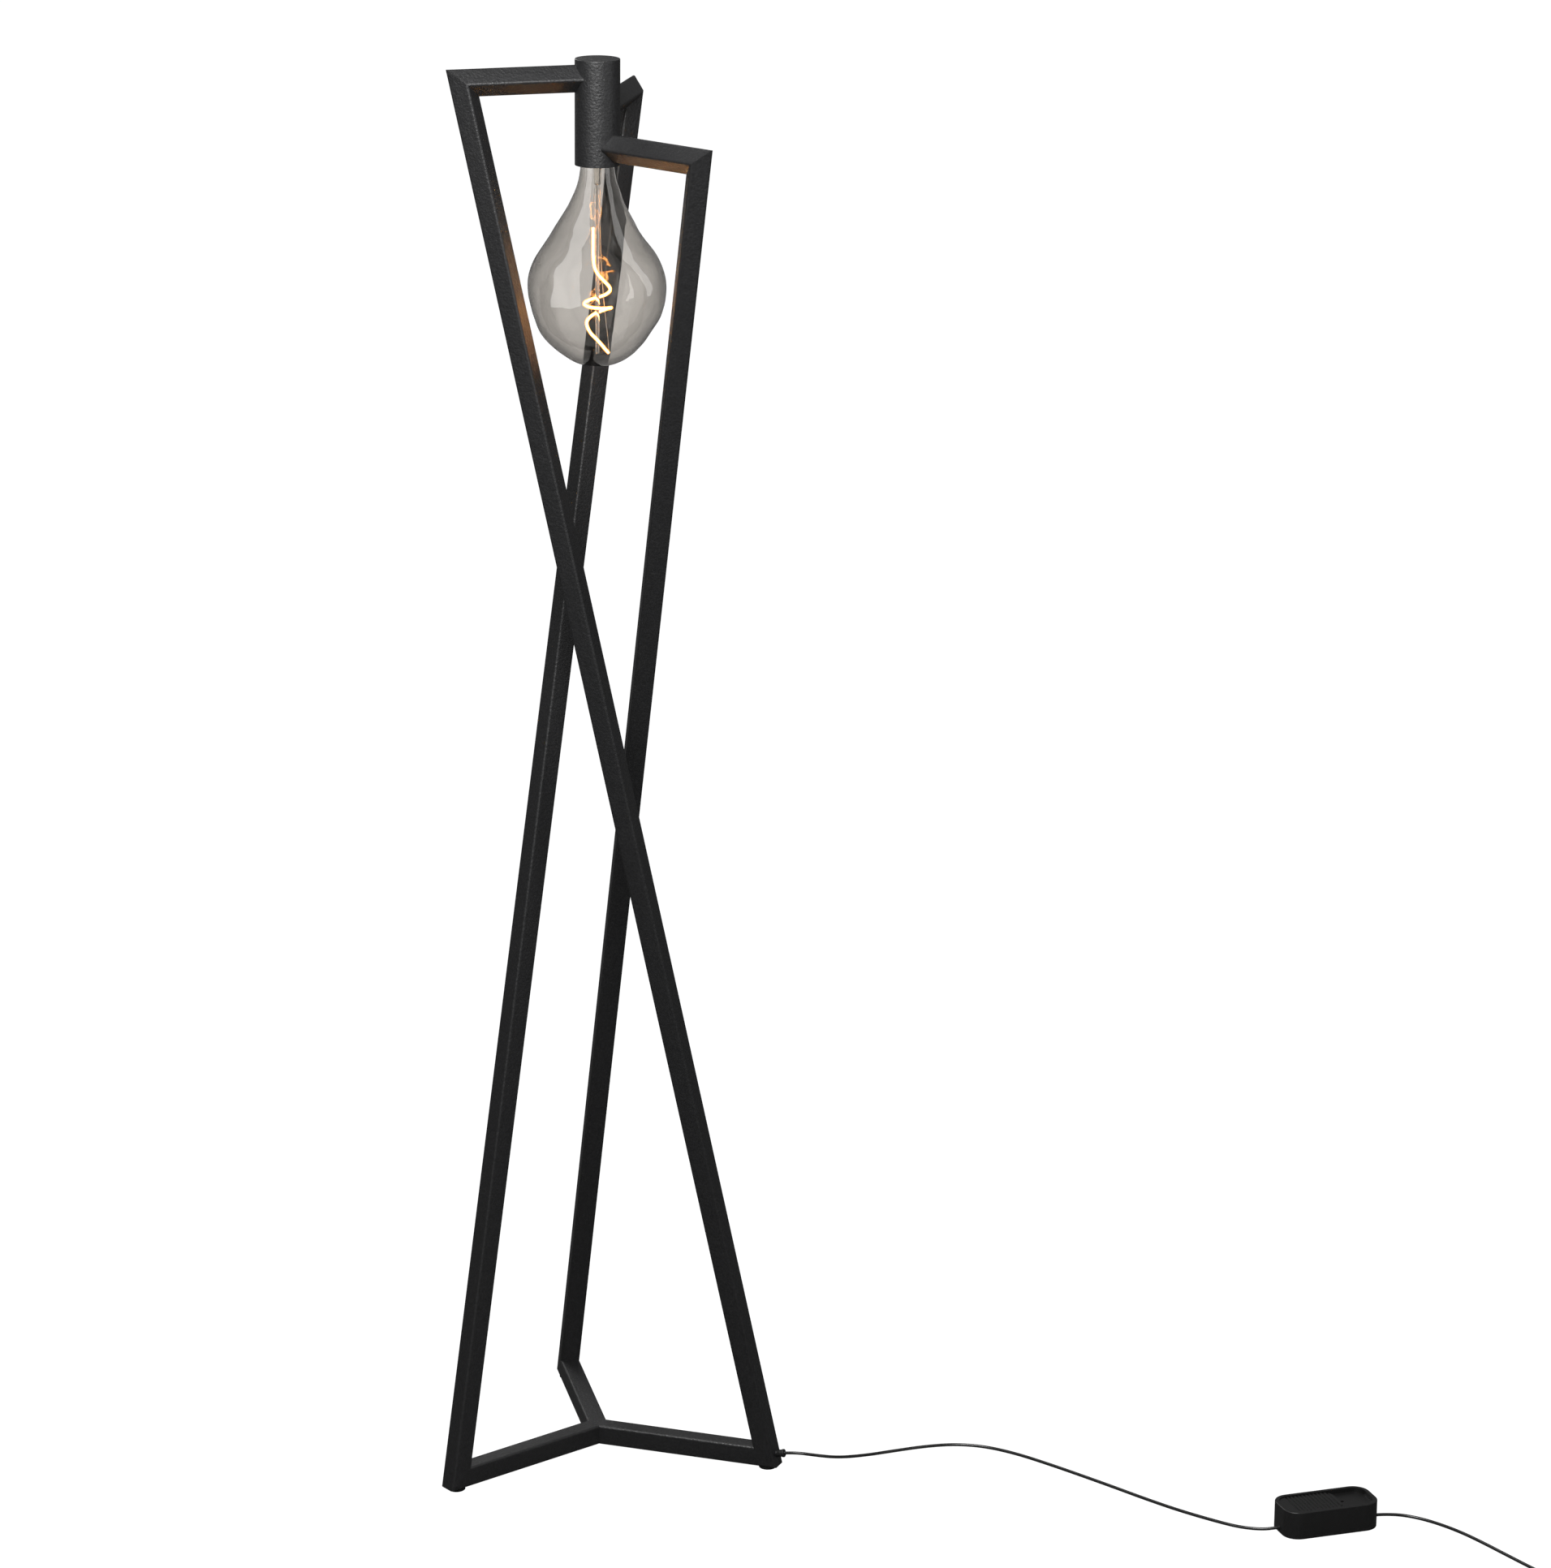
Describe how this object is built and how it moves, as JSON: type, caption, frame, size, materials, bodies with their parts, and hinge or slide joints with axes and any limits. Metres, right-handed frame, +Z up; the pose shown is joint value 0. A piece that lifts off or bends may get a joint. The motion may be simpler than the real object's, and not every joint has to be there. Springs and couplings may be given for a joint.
{
  "type": "floor lamp",
  "caption": "Open-frame floor lamp: square steel tubes twist upwards to a central sleeve with one large bare bulb hanging below it, and a sliding dimmer sits on the cord.",
  "frame": {"origin": "on the floor under the lamp axis, where the foot arms' centrelines meet", "axes": "+Z up the lamp axis; +X from the axis along foot arm b, towards the corner where the cord leaves"},
  "size_m": [1.39, 0.4301, 1.756],
  "materials": {
    "powder_coat": "fine-textured matt black powder coat on mild steel",
    "pad_rubber": "moulded matt black rubber",
    "dimmer_foot_rubber": "matt black rubber",
    "zinc_steel": "bright zinc plate",
    "holder_plastic": "moulded black phenolic",
    "holder_porcelain": "glazed porcelain",
    "holder_brass": "plain brass",
    "smoked_glass": "mouth-blown smoked grey glass with soft dents",
    "cap_nickel": "nickel-plated brass",
    "cap_glass": "black glass insulator",
    "contact_solder": "tinned contact",
    "clear_glass": "clear drawn glass",
    "lead_wire": "plain drawn wire",
    "filament_glow": "warm lit filament, silicone-coated",
    "grip_plastic": "moulded black nylon",
    "grip_screw_steel": "blackened steel",
    "cord_sheath": "smooth black flexible PVC",
    "dimmer_plastic": "moulded black plastic with a fine satin texture",
    "slider_plastic": "moulded black plastic, a little glossier on its ribs",
    "circuit_board": "green solder resist on glass laminate",
    "component_plastic": "moulded component housing",
    "ferrite": "bare ferrite ring",
    "capacitor_film": "dipped film capacitor",
    "plug_plastic": "moulded black PVC",
    "pin_nickel": "nickel-plated brass"
  },
  "bodies": {
    "lamp": {"contact_tongue": "holder_brass", "cord_coil": "cord_sheath", "cord_grip": "grip_plastic", "cord_grip_nut": "grip_plastic", "cord_grip_screw": "grip_screw_steel", "cord_tail": "cord_sheath", "cord_to_coil": "cord_sheath", "cord_to_dimmer": "cord_sheath", "dimmer_board": "circuit_board", "dimmer_bushes": "dimmer_plastic", "dimmer_capacitor": "capacitor_film", "dimmer_choke": "ferrite", "dimmer_clamps": "dimmer_plastic", "dimmer_cord_ends": "cord_sheath", "dimmer_cover": "dimmer_plastic", "dimmer_feet": "dimmer_foot_rubber", "dimmer_plate": "dimmer_plastic", "dimmer_potentiometer": "component_plastic", "dimmer_screws": "zinc_steel", "foot_arm_a": "powder_coat", "foot_arm_b": "powder_coat", "foot_arm_c": "powder_coat", "foot_pad_a": "pad_rubber", "foot_pad_b": "pad_rubber", "foot_pad_c": "pad_rubber", "foot_pad_screws": "zinc_steel", "holder_bridge": "zinc_steel", "inner_cable": "cord_sheath", "lampholder_body": "holder_plastic", "lampholder_dome": "holder_plastic", "lampholder_insert": "holder_porcelain", "leg_a": "powder_coat", "leg_b": "powder_coat", "leg_c": "powder_coat", "nipple_nut": "zinc_steel", "plug_body": "plug_plastic", "plug_pins": "pin_nickel", "plug_relief": "plug_plastic", "screw_shell": "holder_brass", "sleeve": "powder_coat", "sleeve_cap": "powder_coat", "terminal_screws": "zinc_steel", "threaded_nipple": "zinc_steel", "top_arm_a": "powder_coat", "top_arm_b": "powder_coat", "top_arm_c": "powder_coat"},
    "bulb": {"bulb_glass": "smoked_glass", "bulb_cap": "cap_nickel", "bulb_cap_insulator": "cap_glass", "bulb_contact": "contact_solder", "bulb_stem": "clear_glass", "bulb_leads": "lead_wire", "bulb_filament": "filament_glow"},
    "slider": {"dimmer_slider": "slider_plastic"}
  },
  "joints": [
    {"name": "bulb_turn", "type": "hinge", "parent": "lamp", "child": "bulb", "pos_m": [0, 0, 1.64], "axis": [0, 0, -1], "range_deg": [0, 900]},
    {"name": "dimmer_slide", "type": "slide", "parent": "lamp", "child": "slider", "axis": [0.7965, 0.6046, 0], "range_m": [0, 0.041]}
  ]
}
